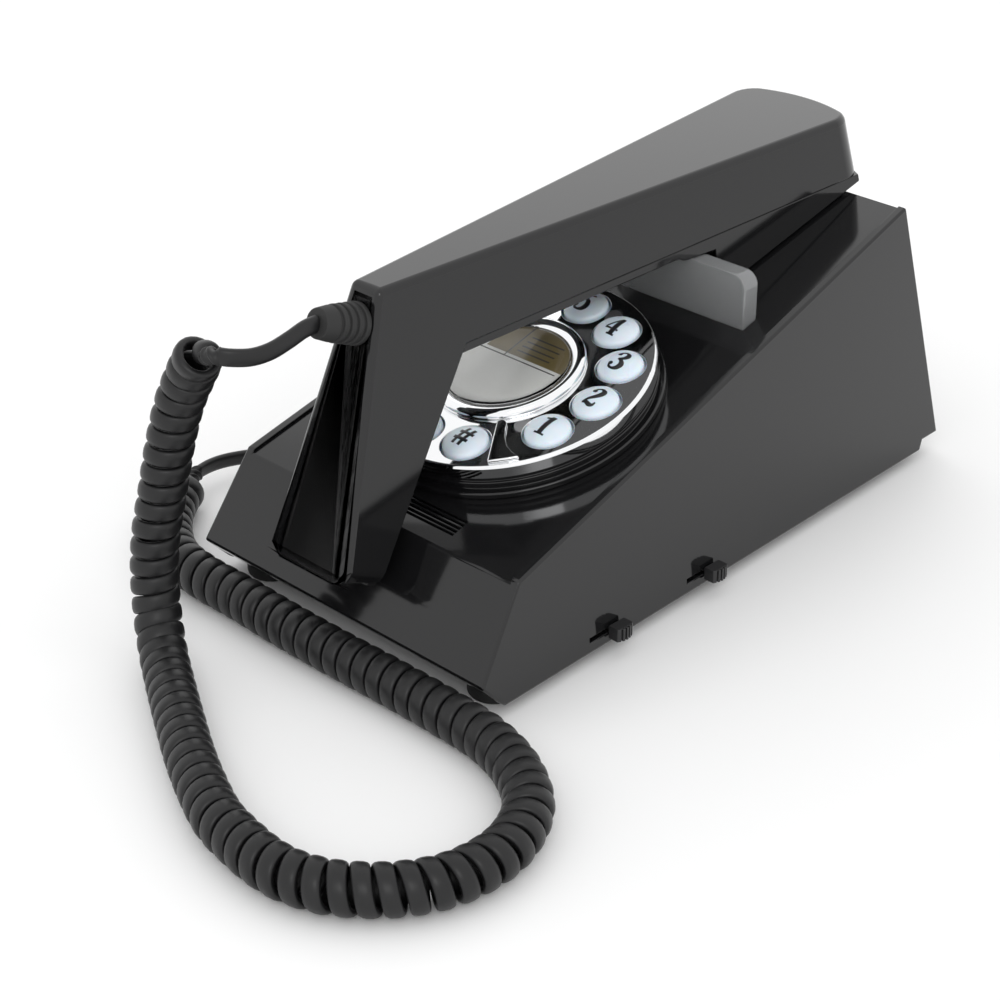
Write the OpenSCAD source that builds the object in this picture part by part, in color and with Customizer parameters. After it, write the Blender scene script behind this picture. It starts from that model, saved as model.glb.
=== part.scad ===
// Desk telephone of the slim kind, with push buttons set in a round dial, a handset that
// hooks over the front, and a curly cord.
// X runs to the telephone's right, Y to its back and Z up. The table is z = 0.

/* [Body] */
// Half the body's width at table level, half way along
half_width = 52.1; // [51.8:0.1:52.6]
// Thickness of the body's walls
wall = 2.6; // [2.2:0.1:2.8]
// Height of the raised rims above the deck between them
rim_height = 0.8; // [0.6:0.1:1.0]
// Slope of the deck, in degrees
slope = 16; // [15.8:0.1:16.2]
// Height of the feet under the base plate
foot_height = 4; // [4:0.1:4.2]

/* [Dial] */
// Radius of the chrome face
bezel_r = 40.7; // [40.6:0.1:41]
// Radius of the circle that the buttons stand on
button_ring_r = 31.2; // [31.1:0.1:31.3]
// Radius of a button's cap
button_r = 6.55; // [6.3:0.05:6.55]
// Angle between two buttons, in degrees
button_pitch = 29; // [28.6:0.2:29.2]
// Angle of button 1, in degrees from the +X direction
button_start = -27.6; // [-29:0.2:-26]
// Running clearance round a button's stem
stem_gap = 0.05; // [0.03:0.01:0.09]

/* [Handset] */
// Wall thickness of the handset's mouldings
handset_wall = 2.2; // [1.8:0.1:2.3]
// Length of the ribbed boot that the cord leaves by
boot_len = 14; // [12:1:15]

/* [Cord] */
// Outer diameter of the coils
coil_d = 13; // [12:0.5:13]
// Diameter of the tube that stands for the flat leads
lead_d = 4.4; // [3.6:0.1:4.6]

/* [Hidden] */
$fn = 48;

// Body planes. A wall's x is half_width - lean * z - taper * y.
lean = 0.073;
taper = 0.031;
front_low = [-98, 12];
front_top = [-82.6, 36];
back_top_y = 86.8;
back_low = [107, 6.7];
side_low_z = 3.7;
rise = tan(slope);
front_rake = (front_top.x - front_low.x) / (front_top.y - front_low.y);
function rim_z(y) = front_top.y + (y - front_top.x) * rise;
function deck_z(y) = rim_z(y) - rim_height / cos(slope);
back_top = [back_top_y, rim_z(back_top_y)];
back_rake = (back_low.x - back_top.x) / (back_top.y - back_low.y);
function front_y(z) = front_low.x + (z - front_low.y) * front_rake;
function back_y(z) = back_low.x - (z - back_low.y) * back_rake;
function side_x(y, z) = half_width - lean * z - taper * y;
// Where a line y = a + m z meets a line z = b + k y
function meet(a, m, b, k) = let (y = (a + m * b) / (1 - m * k)) [y, b + k * y];
front_wall = wall * 1.19;
back_wall = wall * 1.035;
deck_wall = wall / cos(slope);
deck_base = deck_z(0) - deck_wall;
cavity_front = meet(front_low.x + front_wall - front_low.y * front_rake, front_rake, deck_base, rise);
cavity_back = meet(back_low.x - back_wall + back_low.y * back_rake, -back_rake, deck_base, rise);

body_profile = [front_low, front_top, back_top, back_low, [99, back_low.y],
    [97.6, side_low_z], [-90, side_low_z], [-91.5, 5]];
cavity_profile = [[front_low.x + front_wall, 0], [front_low.x + front_wall, front_low.y],
    cavity_front, cavity_back, [back_low.x - back_wall, back_low.y], [back_low.x - back_wall, 0]];
plate_profile = [[-94.5, 10.8], [-92.3, 10.8], [-88.2, 6.4], [96.4, 6.4], [98.2, 9.2],
    [103.2, 9.2], [103.7, 7.2], [99.4, 7.2], [97.4, foot_height], [-89.6, foot_height]];
plate_top = 6.4;
base_bosses = [[-38, -66], [38, -66], [-34.5, 60], [34.5, 60]];
feet_at = [[-43.5, -83], [43.5, -83], [-38.5, 79], [38.5, 79]];

// Dial: heights are above the deck, square to it
dial_y = -29.9;
dial_z = deck_z(dial_y);
dial_hole_r = 36.6;
cup_r = 36.3;
cup_depth = 7;
housing_in = bezel_r - 2.2;
bezel_low = 6.1;
bezel_top = 10.2;
bezel_plate = 1.4;
button_hole_r = button_r + 0.4;
button_flange_r = button_r + 0.6;
stem_r = 3;
centre_r = 17.4;
ring_out = 21.8;
screw_ring_r = 15;

// Cradle
bar_half = 36.2;
bar_y = [22.5, 28.5];
bar_z = [58, 80.5];
bar_round = 4;
pin_x = 27;
pin_r = 2;
guide_z = 40;
guide_top = 55.5;

// Switch tabs on the right wall: y of the slot's front end, and the height of the slot
tab_slots = [-57.1, -16.4];
slot_len = 13.2;
slot_z = [6.8, 8.3];
tab_len = 6;
tab_out = 4.2;
tab_height = 3.8;
tab_round = 5;

// Handset planes. A side's x is hs_half + hs_taper * y - hs_lean * z.
hs_half = 29.62;
hs_taper = 0.0895;
hs_lean = 0.1673;
leg_low = [-107.4, 28.8];
leg_top = [-84, 100.9];
arm_back = [98, 105.9];
arm_end = [102, 88.8];
inner_corner = [-59.4, 80.2];
leg_inner = [-97.2, 25.2];
leg_rake = (leg_top.x - leg_low.x) / (leg_top.y - leg_low.y);
arm_rise = (arm_back.y - leg_top.y) / (arm_back.x - leg_top.x);
seam_rise = (arm_end.y - inner_corner.y) / (arm_end.x - inner_corner.x);
function leg_y(z) = leg_low.x + (z - leg_low.y) * leg_rake;
function arm_z(y) = leg_top.y + (y - leg_top.x) * arm_rise;
function seam_z(y) = inner_corner.y + (y - inner_corner.x) * seam_rise;
rear_bow_r = 42;
rear_bow_at = [0, 50.6, 105.6];
rear_lean = 14;
handset_profile = [leg_low, leg_top, arm_back, arm_end, inner_corner, leg_inner];
box_y = [31.2, 97];
box_gap = 0.9;
back_inset = 0.3;
panel_inset = 2.4;
ear_at = [0, 60];
mic_z = 42;
boot_z = 91.5;
boot_tilt = 18;
boot_hole_r = 3.4;
arm_screws = [-38, 4];

// Routes of the cord, in millimetres
lead_route = [[0, -100.4, 95.8], [0, -104.5, 95.6], [0, -109.5, 94.4], [-0.4, -115, 93.2],
    [-1.8, -120, 92.8], [-4.3, -124.6, 93.4], [-7.9, -126.7, 93.5], [-11.75, -125.6, 91.6]];
coil_route = [[-12, -125.5, 91.5], [-17, -124, 89], [-22, -123.5, 82], [-26, -124.5, 73],
    [-28.5, -126.5, 61], [-30, -128.5, 49], [-31, -131, 37], [-31, -132.5, 26],
    [-28.5, -134.5, 15.5], [-22, -138.5, 8.5], [-12, -144.5, 6.6], [4, -154, 6.5],
    [18, -162, 6.5], [31, -168.5, 6.5], [42, -173, 6.5], [52, -175, 6.5], [62, -176, 6.5],
    [71, -175, 6.5], [81, -170.5, 6.5], [91, -161, 6.5], [97, -149, 6.5], [97.5, -134, 6.5],
    [91, -120, 6.5], [79, -111, 6.5], [65, -106.5, 6.5], [49, -105.5, 6.5], [28, -105.5, 6.5],
    [7, -106, 6.5], [-13, -106, 6.5], [-31, -105.5, 6.5], [-46, -105.5, 6.5], [-59, -103.5, 6.5],
    [-71, -97, 6.5], [-82, -87, 6.5], [-91, -74, 6.5]];
base_route = [[-91.2, -73.7, 6.5], [-93.6, -69.8, 6.4], [-95, -64, 6.3], [-94.6, -58, 6.2],
    [-92, -51, 6], [-88, -43, 5.4], [-84, -34, 4.4], [-81, -25, 3.2], [-79, -15, 2.3],
    [-77.6, -5, 2.5], [-75, 4, 4.2], [-71, 9.5, 7.6], [-66.4, 11.7, 10.8], [-62.6, 12, 12.1],
    [-59.1, 12, 12.2]];
gland_at = [12, 12.2];

// A profile drawn in y and z, made a slab across X
module across(width = 160) {
    rotate([90, 0, 90])
        linear_extrude(width, center = true)
            children();
}

// What lies outside the body's two side planes moved in by inset
module body_sides(inset) {
    for (s = [0, 1])
        mirror([s, 0, 0])
            translate([half_width - inset, 0, 0])
                rotate([0, -atan(lean), atan(taper)])
                    translate([0, -200, -100])
                        cube([120, 400, 300]);
}

module body_wedge(points, inset) {
    difference() {
        across()
            polygon(points);
        body_sides(inset);
    }
}

// What lies outside the handset's two side planes moved in by inset
module handset_sides(inset) {
    for (s = [0, 1])
        mirror([s, 0, 0])
            translate([hs_half - inset, 0, 0])
                rotate([0, -atan(hs_lean), -atan(hs_taper)])
                    translate([0, -200, -100])
                        cube([120, 400, 320]);
}

module handset_wedge(points, inset) {
    intersection() {
        difference() {
            across()
                polygon(points);
            handset_sides(inset);
        }
        translate(rear_bow_at)
            rotate([rear_lean, 0, 0])
                union() {
                    translate([0, 0, -100])
                        cylinder(r = rear_bow_r - inset, h = 200, $fn = 96);
                    translate([-60, -260, -150])
                        cube([120, 260, 250]);
                }
    }
}

// Moves to the deck at a distance y along it, with Z square to the deck
module on_deck(y) {
    translate([0, y, deck_z(y)])
        rotate([slope, 0, 0])
            children();
}

module on_dial() {
    on_deck(dial_y)
        children();
}

module at_button(i) {
    on_dial()
        rotate(button_start + i * button_pitch)
            translate([button_ring_r, 0, 0])
                children();
}

module screw(head_r, head_h, shank_r, len) {
    cylinder(r = head_r, h = head_h);
    cylinder(r = shank_r, h = len);
}

// Directions along a route, and side vectors carried along it without twist
function unit(v) = v / norm(v);
function tangents(p) = let (n = len(p) - 1)
    [for (i = [0 : n]) unit(p[min(i + 1, n)] - p[max(i - 1, 0)])];
function carried(t, i = 0, last = [0, 0, 0], out = []) =
    i == len(t) ? out
    : let (start = cross(t[0], abs(t[0].z) < 0.9 ? [0, 0, 1] : [1, 0, 0]),
           side = unit(i == 0 ? start : last - (last * t[i]) * t[i]))
        carried(t, i + 1, side, concat(out, [side]));

// A round tube swept along points, closed at both ends
module tube(points, r, sides) {
    n = len(points);
    t = tangents(points);
    u = carried(t);
    rings = [for (i = [0 : n - 1], j = [0 : sides - 1])
        let (a = 360 * j / sides)
            points[i] + r * (cos(a) * u[i] + sin(a) * cross(t[i], u[i]))];
    skin = [for (i = [0 : n - 2], j = [0 : sides - 1])
        let (k = (j + 1) % sides)
            [i * sides + j, (i + 1) * sides + j, (i + 1) * sides + k, i * sides + k]];
    start = [for (j = [0 : sides - 1]) j];
    end = [for (j = [sides - 1 : -1 : 0]) (n - 1) * sides + j];
    polyhedron(points = rings, faces = concat(skin, [start, end]), convexity = 10);
}

module slot_opening(y0) {
    translate([side_x(y0, slot_z.x) - wall - 2, y0, slot_z.x])
        cube([wall + 6, slot_len, slot_z.y - slot_z.x]);
}

module base_shell() {
    color([0.02, 0.02, 0.022])
        difference() {
            union() {
                difference() {
                    body_wedge(body_profile, 0);
                    body_wedge(cavity_profile, wall);
                }
                intersection() {
                    for (p = base_bosses)
                        translate([p.x, p.y, plate_top + 0.2])
                            cylinder(r = 3.6, h = 90);
                    body_wedge(body_profile, wall / 2);
                }
            }
            body_wedge([[-130, deck_z(-130)], [130, deck_z(130)], [130, 150], [-130, 150]], wall);
            on_dial()
                translate([0, 0, -8])
                    cylinder(r = dial_hole_r, h = 20, $fn = 96);
            translate([-bar_half - 0.35, bar_y.x - 0.35, 50])
                cube([2 * bar_half + 0.7, bar_y.y - bar_y.x + 0.7, 40]);
            for (p = base_bosses)
                translate([p.x, p.y, plate_top])
                    cylinder(r = 1.5, h = 12);
            for (y0 = tab_slots)
                slot_opening(y0);
            for (i = [0 : 4])
                on_deck(-78 + 1.3 * i)
                    translate([-24, -0.35, -6])
                        cube([48, 0.7, 12]);
            translate([12.9, 90, 12.9])
                cube([14.2, 30, 13.2]);
            translate([-60, gland_at.x, gland_at.y])
                rotate([0, 90, 0])
                    cylinder(r = 4.1, h = 20);
        }
}

module base_plate() {
    color([0.05, 0.05, 0.055])
        difference() {
            body_wedge(plate_profile, wall + 0.25);
            for (p = base_bosses)
                translate([p.x, p.y, 0]) {
                    cylinder(r = 1.8, h = 20);
                    cylinder(r = 3.3, h = foot_height + 1.2);
                }
            for (p = feet_at)
                translate([p.x, p.y, 0])
                    cylinder(r = 3.05, h = 20);
            for (i = [-2 : 2])
                translate([-9, -40 + 4 * i, 0])
                    cube([18, 1.6, 20]);
        }
}

module rubber_feet() {
    color([0.03, 0.03, 0.03])
        for (p = feet_at)
            translate([p.x, p.y, 0]) {
                rotate_extrude()
                    polygon([[0, 0], [6.2, 0], [6.8, 0.6], [7, foot_height - 0.02], [0, foot_height - 0.02]]);
                cylinder(r = 3, h = plate_top + 1);
            }
}

module base_screws() {
    color([0.6, 0.6, 0.62])
        for (p = base_bosses)
            translate([p.x, p.y, foot_height + 0.15])
                difference() {
                    screw(2.9, 1, 1.45, 12);
                    translate([-1.8, -0.35, -0.1])
                        cube([3.6, 0.7, 0.6]);
                    translate([-0.35, -1.8, -0.1])
                        cube([0.7, 3.6, 0.6]);
                }
}

module base_weight() {
    color([0.4, 0.41, 0.43])
        difference() {
            translate([-30, 36, plate_top + 0.05])
                cube([60, 34, 5]);
            for (x = [-24, 24])
                translate([x, 53, 0])
                    cylinder(r = 2.2, h = 20);
        }
}

module dial_housing() {
    color([0.015, 0.015, 0.017])
        on_dial()
            difference() {
                rotate_extrude($fn = 96)
                    polygon([[0, -cup_depth], [cup_r, -cup_depth], [cup_r, 0.06], [41.8, 0.06],
                        [41.8, 1.6], [41.4, 1.9], [39.7, 1.9], [39.7, 3.4], [40.3, 3.4], [40.5, 3.6],
                        [40.5, 4.4], [40.3, 4.6], [39.8, 4.6], [39.8, 6.04], [housing_in, 6.04],
                        [housing_in, 2.3], [34.8, 2.3], [34.8, 1.6 - cup_depth], [0, 1.6 - cup_depth]]);
                translate([0, 0, -cup_depth - 1])
                    cylinder(r = 5, h = 4);
            }
}

module dial_bezel() {
    color([0.85, 0.86, 0.88])
        difference() {
            on_dial()
                rotate_extrude($fn = 96)
                    polygon([[13, bezel_top - bezel_plate], [bezel_r - 2, bezel_top - bezel_plate],
                        [bezel_r - 2, bezel_low], [bezel_r, bezel_low], [bezel_r, bezel_top - 0.8],
                        [bezel_r - 0.3, bezel_top - 0.2], [bezel_r - 0.9, bezel_top], [13, bezel_top]]);
            for (i = [0 : 11])
                at_button(i)
                    cylinder(r = button_hole_r, h = 20);
        }
}

module finger_stop() {
    color([0.85, 0.86, 0.88])
        on_dial()
            translate([0, 0, bezel_top + 0.03])
                linear_extrude(1.1)
                    polygon([[13.6, -19], [14.2, -17.7], [15.3, -17.3], [16.6, -18.2], [18, -20.2],
                        [20, -22.6], [23, -25], [26.2, -26.2], [28.8, -26.7], [26.8, -28.8],
                        [24.8, -30.6], [22.6, -32.4]]);
}

module centre_ring() {
    color([0.85, 0.86, 0.88])
        on_dial()
            rotate_extrude($fn = 96)
                polygon([[centre_r + 0.2, bezel_top + 0.03], [ring_out, bezel_top + 0.03],
                    [ring_out, 11.1], [21.3, 12], [20.4, 12.6], [19.4, 12.6], [18.4, 12],
                    [centre_r + 0.2, 11.3]]);
}

module centre_card() {
    color([0.93, 0.9, 0.8])
        on_dial()
            translate([0, 0, bezel_top + 0.03])
                cylinder(r = centre_r, h = 0.4, $fn = 96);
}

module centre_lens() {
    color([0.9, 0.93, 0.95, 0.4])
        on_dial()
            translate([0, 0, bezel_top + 0.5])
                rotate_extrude($fn = 96)
                    polygon(concat([[0, 0], [centre_r, 0]], [for (i = [8 : -1 : 1])
                        let (r = centre_r * i / 8) [r, 2.4 - 1.6 * i * i / 64]], [[0, 2.4]]));
}

module button_guide() {
    color([0.1, 0.1, 0.11])
        difference() {
            on_dial()
                difference() {
                    union() {
                        translate([0, 0, 2.35])
                            cylinder(r = housing_in - 0.15, h = 2, $fn = 96);
                        for (a = [0, 120, 240])
                            rotate(a)
                                translate([screw_ring_r, 0, -1.75])
                                    cylinder(r = 2.6, h = 5);
                    }
                    for (a = [0, 120, 240])
                        rotate(a)
                            translate([screw_ring_r, 0, -3])
                                cylinder(r = 1.15, h = 5.2);
                }
            for (i = [0 : 11])
                at_button(i)
                    translate([0, 0, -3])
                        cylinder(r = stem_r + stem_gap, h = 10);
        }
}

module keypad_membrane() {
    color([0.75, 0.76, 0.74])
        union() {
            on_dial()
                translate([0, 0, -1.7])
                    difference() {
                        cylinder(r = 34.5, h = 0.8, $fn = 96);
                        for (a = [0, 120, 240])
                            rotate(a)
                                translate([screw_ring_r, 0, -1])
                                    cylinder(r = 3, h = 4);
                        translate([0, 0, -1])
                            cylinder(r = 6, h = 4);
                    }
            for (i = [0 : 11])
                at_button(i)
                    translate([0, 0, -1])
                        cylinder(r = 2.4, h = 0.8);
        }
}

module keypad_board() {
    color([0.1, 0.35, 0.18])
        on_dial()
            translate([0, 0, -3.4])
                difference() {
                    cylinder(r = 34.5, h = 1.6, $fn = 96);
                    for (a = [0, 120, 240])
                        rotate(a)
                            translate([screw_ring_r, 0, -1])
                                cylinder(r = 1.3, h = 4);
                    translate([0, 0, -1])
                        cylinder(r = 3, h = 4);
                }
}

module keypad_screws() {
    color([0.6, 0.6, 0.62])
        on_dial()
            for (a = [0, 120, 240])
                rotate(a)
                    translate([screw_ring_r, 0, -4.6])
                        screw(2.4, 1.15, 1.1, 5.5);
}

// One button: domed cap, a flange that keeps it under the chrome face, and a guided stem
module button(i) {
    color([0.78, 0.86, 0.93])
        at_button(i) {
            translate([0, 0, 7.2])
                cylinder(r = button_flange_r, h = 1.2);
            intersection() {
                translate([0, 0, 8])
                    cylinder(r = button_r, h = 6);
                translate([0, 0, 12.9 - 11.7])
                    sphere(r = 11.7, $fn = 64);
            }
            translate([0, 0, 2])
                cylinder(r = stem_r, h = 5.6);
        }
}

module button_1() { button(0); }
module button_2() { button(1); }
module button_3() { button(2); }
module button_4() { button(3); }
module button_5() { button(4); }
module button_6() { button(5); }
module button_7() { button(6); }
module button_8() { button(7); }
module button_9() { button(8); }
module button_star() { button(9); }
module button_0() { button(10); }
module button_hash() { button(11); }

module cradle_bar() {
    depth = bar_y.y - bar_y.x;
    color([0.9, 0.95, 1, 0.4])
        union() {
            translate([-bar_half, bar_y.x, bar_z.x])
                cube([2 * bar_half, depth, bar_z.y - bar_z.x - bar_round]);
            translate([-bar_half + bar_round, bar_y.x, bar_z.x])
                cube([2 * (bar_half - bar_round), depth, bar_z.y - bar_z.x]);
            for (x = [-bar_half + bar_round, bar_half - bar_round])
                translate([x, bar_y.y, bar_z.y - bar_round])
                    rotate([90, 0, 0])
                        cylinder(r = bar_round, h = depth);
            for (x = [-pin_x, pin_x])
                translate([x, (bar_y.x + bar_y.y) / 2, bar_z.x - 15])
                    cylinder(r = pin_r, h = 16);
        }
}

module cradle_guide() {
    mid = (bar_y.x + bar_y.y) / 2;
    color([0.1, 0.1, 0.11])
        difference() {
            union() {
                translate([-34, mid - 6, guide_z])
                    cube([68, 12, 3]);
                for (x = [-pin_x, pin_x])
                    translate([x, mid, guide_z])
                        cylinder(r = 4, h = guide_top - guide_z - 1.6);
                for (x = [-32.5, 32.5])
                    translate([x - 1.5, mid - 9.5, guide_z])
                        cube([3, 4.5, 18.5]);
            }
            for (x = [-pin_x, pin_x])
                translate([x, mid, guide_z + 1.2])
                    cylinder(r = pin_r + 0.05, h = 20);
            for (x = [-18, 22])
                translate([x, mid, guide_z - 1])
                    cylinder(r = 1.6, h = 6);
        }
}

module cradle_spring() {
    mid = (bar_y.x + bar_y.y) / 2;
    turns = 5;
    low = guide_z + 3.7;
    high = bar_z.x - 0.7;
    color([0.7, 0.7, 0.72])
        tube([for (i = [0 : 12 * turns])
            [4 * cos(30 * i), mid + 4 * sin(30 * i), low + (high - low) * i / (12 * turns)]], 0.5, 6);
}

module cradle_screws() {
    mid = (bar_y.x + bar_y.y) / 2;
    color([0.6, 0.6, 0.62])
        for (x = [-18, 22])
            translate([x, mid, guide_z - 1.2])
                screw(2.6, 1.1, 1.5, 5.6);
}

module hook_switch() {
    color([0.15, 0.15, 0.16])
        union() {
            translate([8, bar_y.x - 0.5, guide_z + 3.05])
                cube([10, 7, 10.5]);
            translate([12, bar_y.x + 3, guide_z + 13])
                cylinder(r = 1.4, h = 4.5);
        }
}

module main_board() {
    color([0.1, 0.35, 0.18])
        difference() {
            translate([-36, -50, 14])
                cube([72, 66, 1.6]);
            for (x = [-31, 31], y = [-45, 11])
                translate([x, y, 10])
                    cylinder(r = 1.4, h = 10);
        }
}

module board_screws() {
    color([0.6, 0.6, 0.62])
        for (x = [-31, 31], y = [-45, 11])
            translate([x, y, plate_top + 0.05]) {
                cylinder(r = 2.6, h = 7.5);
                cylinder(r = 1.35, h = 10.4);
                translate([0, 0, 9.25])
                    cylinder(r = 2.5, h = 1.2);
            }
}

module ringer() {
    color([0.2, 0.2, 0.21])
        translate([0, -64.5, plate_top + 0.05])
            rotate_extrude()
                polygon([[0, 0], [13, 0], [13, 9], [10, 12], [9, 12], [9, 10.5], [0, 9]]);
}

// A ribbed tab that slides in a slot of the right wall
module tab(y0) {
    y1 = y0 + slot_len - tab_len - 0.4;
    x0 = side_x(y0 + slot_len / 2, slot_z.x) + 0.55;
    color([0.03, 0.03, 0.03])
        difference() {
            union() {
                translate([x0 - wall - 3.55, y1 + 1.5, slot_z.x + 0.15])
                    cube([wall + 5, tab_len - 3, slot_z.y - slot_z.x - 0.3]);
                translate([x0, y1, (slot_z.x + slot_z.y - tab_height) / 2])
                    intersection() {
                        cube([tab_out, tab_len, tab_height]);
                        translate([tab_out - tab_round, tab_len / 2, 0])
                            cylinder(r = tab_round, h = tab_height, $fn = 96);
                    }
            }
            for (i = [1 : 4])
                translate([x0 + tab_out - 0.75, y1 + i * tab_len / 5 - 0.25, 0])
                    cube([2, 0.5, 20]);
        }
}

module volume_tab() { tab(tab_slots[0]); }
module mode_tab() { tab(tab_slots[1]); }

module switch_body(y0) {
    color([0.55, 0.56, 0.58])
        difference() {
            translate([side_x(y0, 5) - wall - 9.2, y0 - 2, plate_top + 0.1])
                cube([8, slot_len + 4, 5]);
            translate([side_x(y0, 5) - wall - 4.5, y0 - 0.4, plate_top - 1])
                cube([10, slot_len + 0.8, 4]);
        }
}

module volume_switch() { switch_body(tab_slots[0]); }
module mode_switch() { switch_body(tab_slots[1]); }

module line_socket() {
    color([0.12, 0.12, 0.13])
        difference() {
            translate([13, 88, 13])
                cube([14, 13.4, 13]);
            translate([15, 90, 16])
                cube([10, 20, 6.8]);
            translate([18, 90, 14.4])
                cube([4, 20, 2]);
        }
}

module cord_gland() {
    color([0.03, 0.03, 0.03])
        translate([-59, gland_at.x, gland_at.y])
            rotate([0, 90, 0])
                rotate_extrude()
                    polygon([[0, 0], [3.2, 0], [3.9, 6.6], [5.4, 6.6], [5.4, 7.6], [4, 7.6],
                        [4, 11.6], [5.2, 11.6], [5.2, 13], [0, 13]]);
}

module handset_cover() {
    in_top = arm_z(0) - handset_wall;
    in_front = leg_y(0) + handset_wall * 1.05;
    corner = meet(in_front, leg_rake, in_top, arm_rise);
    color([0.02, 0.02, 0.022])
        difference() {
            union() {
                difference() {
                    handset_wedge(handset_profile, 0);
                    handset_wedge([[leg_y(28) + handset_wall * 1.05, 31], corner, [120, in_top + 120 * arm_rise],
                        [120, 70], [-30, 60], [-60, 10], [leg_y(10), 31]], handset_wall);
                }
                for (y = arm_screws)
                    translate([0, y, seam_z(y) + 0.4])
                        cylinder(r = 3.2, h = arm_z(y) - seam_z(y) - 1.5);
            }
            // seat of the front panel
            handset_wedge([[leg_low.x - 2, leg_low.y - 0.6], [leg_y(98.5) - 2, 98.5], [leg_y(98.5) + 2.6, 98.5],
                [leg_low.x + 2.6, leg_low.y - 0.6]], panel_inset);
            for (y = arm_screws)
                translate([0, y, seam_z(y) - 1])
                    cylinder(r = 1.25, h = 12);
        }
}

module leg_cover() {
    color([0.02, 0.02, 0.022])
        difference() {
            handset_wedge([leg_low, [leg_y(98.35), 98.35], [leg_y(98.35) + 2.4, 98.35],
                [leg_low.x + 2.4, leg_low.y]], panel_inset + 0.05);
            translate([0, leg_y(boot_z), boot_z])
                rotate([90 - boot_tilt, 0, 0])
                    translate([0, 0, -8])
                        cylinder(r = boot_hole_r, h = 16);
        }
}

module handset_back() {
    ledge = 2.4;
    box_low = [for (y = box_y) deck_z(y) + box_gap];
    color([0.02, 0.02, 0.022])
        difference() {
            union() {
                // strip under the arm, with the pad that rests on the cradle bar
                handset_wedge([[inner_corner.x + 0.2, seam_z(inner_corner.x) - 0.1],
                    [inner_corner.x - 1.4, seam_z(inner_corner.x) - ledge], [17.5, seam_z(17.5) - ledge],
                    [19, 80.9], [box_y.x, 80.9], [box_y.x, box_low.x], [box_y.y, box_low.y],
                    [box_y.y + 1, seam_z(box_y.y) - 0.1]], back_inset);
                // inside face of the leg
                handset_wedge([[inner_corner.x + 1.5, seam_z(inner_corner.x) - 1.5],
                    [inner_corner.x - 4, seam_z(inner_corner.x) + 1.5], [leg_inner.x - 2.2, leg_inner.y + 0.9],
                    [leg_inner.x + 0.4, leg_inner.y - 0.5], [inner_corner.x - 0.9, seam_z(inner_corner.x) - 2.1]],
                    handset_wall + 0.3);
                // ribs that rest against the body's front edge
                for (x = [-8, 4])
                    translate([x + 2, 0, 0])
                        across(4)
                            polygon([[-93.6, 30], [-86.9, 30], [-84, 34.5], [-90.6, 34.5]]);
            }
            handset_wedge([[box_y.x + 2, box_low.x + 2.6], [box_y.y, box_low.y + 2],
                [box_y.y, 95], [box_y.x + 2, 95]], back_inset + handset_wall);
            for (y = arm_screws)
                translate([0, y, 70]) {
                    cylinder(r = 1.5, h = 20);
                    cylinder(r = 2.9, h = seam_z(y) - 71.2);
                }
            on_deck(ear_at.y)
                for (a = [0 : 60 : 300])
                    rotate(a)
                        translate([5, 0, -1])
                            cylinder(r = 1, h = 8);
            for (i = [-1 : 1])
                translate([-5, -100, mic_z + 3 * i])
                    cube([10, 20, 1.2]);
        }
}

module earpiece() {
    color([0.3, 0.3, 0.32])
        on_deck(ear_at.y)
            translate([0, 0, box_gap + 2.6])
                rotate_extrude()
                    polygon([[3, 0], [14.5, 0], [14.5, 3], [12, 3], [12, 8], [0, 8], [0, 1.5], [3, 1.5]]);
}

module microphone() {
    color([0.6, 0.6, 0.6])
        translate([0, -92.6, mic_z])
            rotate([90, 0, 0])
                cylinder(r = 4.9, h = 6);
}

module handset_weight() {
    color([0.4, 0.41, 0.43])
        translate([-7, 12, 90])
            cube([14, 40, 9]);
}

module handset_board() {
    color([0.1, 0.35, 0.18])
        translate([-5, -34, 88])
            cube([10, 32, 1.6]);
}

module handset_screws() {
    color([0.6, 0.6, 0.62])
        for (y = arm_screws)
            translate([0, y, seam_z(y) - 2.2])
                screw(2.6, 1, 1.22, 10);
}

module cord_boot() {
    rib = boot_len / 6;
    ribs = [for (i = [0 : 4]) let (z = 0.3 + rib * i, r = 5.6 - 0.22 * i)
        each [[r, z], [r, z + rib * 0.62], [r - 0.9, z + rib * 0.7], [r - 0.9, z + rib]]];
    color([0.03, 0.03, 0.03])
        translate([0, leg_y(boot_z), boot_z])
            rotate([90 - boot_tilt, 0, 0])
                rotate_extrude()
                    polygon(concat([[0, -4.6], [4, -4.6], [4, -3.1], [boot_hole_r - 0.1, -3.1],
                        [boot_hole_r - 0.1, 0.3]], ribs, [[4.4, boot_len - rib * 0.5], [3.9, boot_len], [0, boot_len]]));
}

module handset_lead() {
    color([0.03, 0.03, 0.03])
        tube(lead_route, lead_d / 2, 8);
}

module coil_cord() {
    color([0.03, 0.03, 0.03])
        tube(coil_route, coil_d / 2, 12);
}

module base_lead() {
    color([0.03, 0.03, 0.03])
        tube(base_route, lead_d / 2, 8);
}

base_shell();
base_plate();
rubber_feet();
base_screws();
base_weight();
dial_housing();
dial_bezel();
finger_stop();
centre_ring();
centre_card();
centre_lens();
button_guide();
keypad_membrane();
keypad_board();
keypad_screws();
button_1();
button_2();
button_3();
button_4();
button_5();
button_6();
button_7();
button_8();
button_9();
button_0();
button_star();
button_hash();
cradle_bar();
cradle_guide();
cradle_spring();
cradle_screws();
hook_switch();
main_board();
board_screws();
ringer();
volume_tab();
mode_tab();
volume_switch();
mode_switch();
line_socket();
cord_gland();
handset_cover();
leg_cover();
handset_back();
earpiece();
microphone();
handset_weight();
handset_board();
handset_screws();
cord_boot();
handset_lead();
coil_cord();
base_lead();
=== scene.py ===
import math
import bmesh
import bpy
import numpy as np
from mathutils import Matrix, Vector
from mathutils.bvhtree import BVHTree


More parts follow.
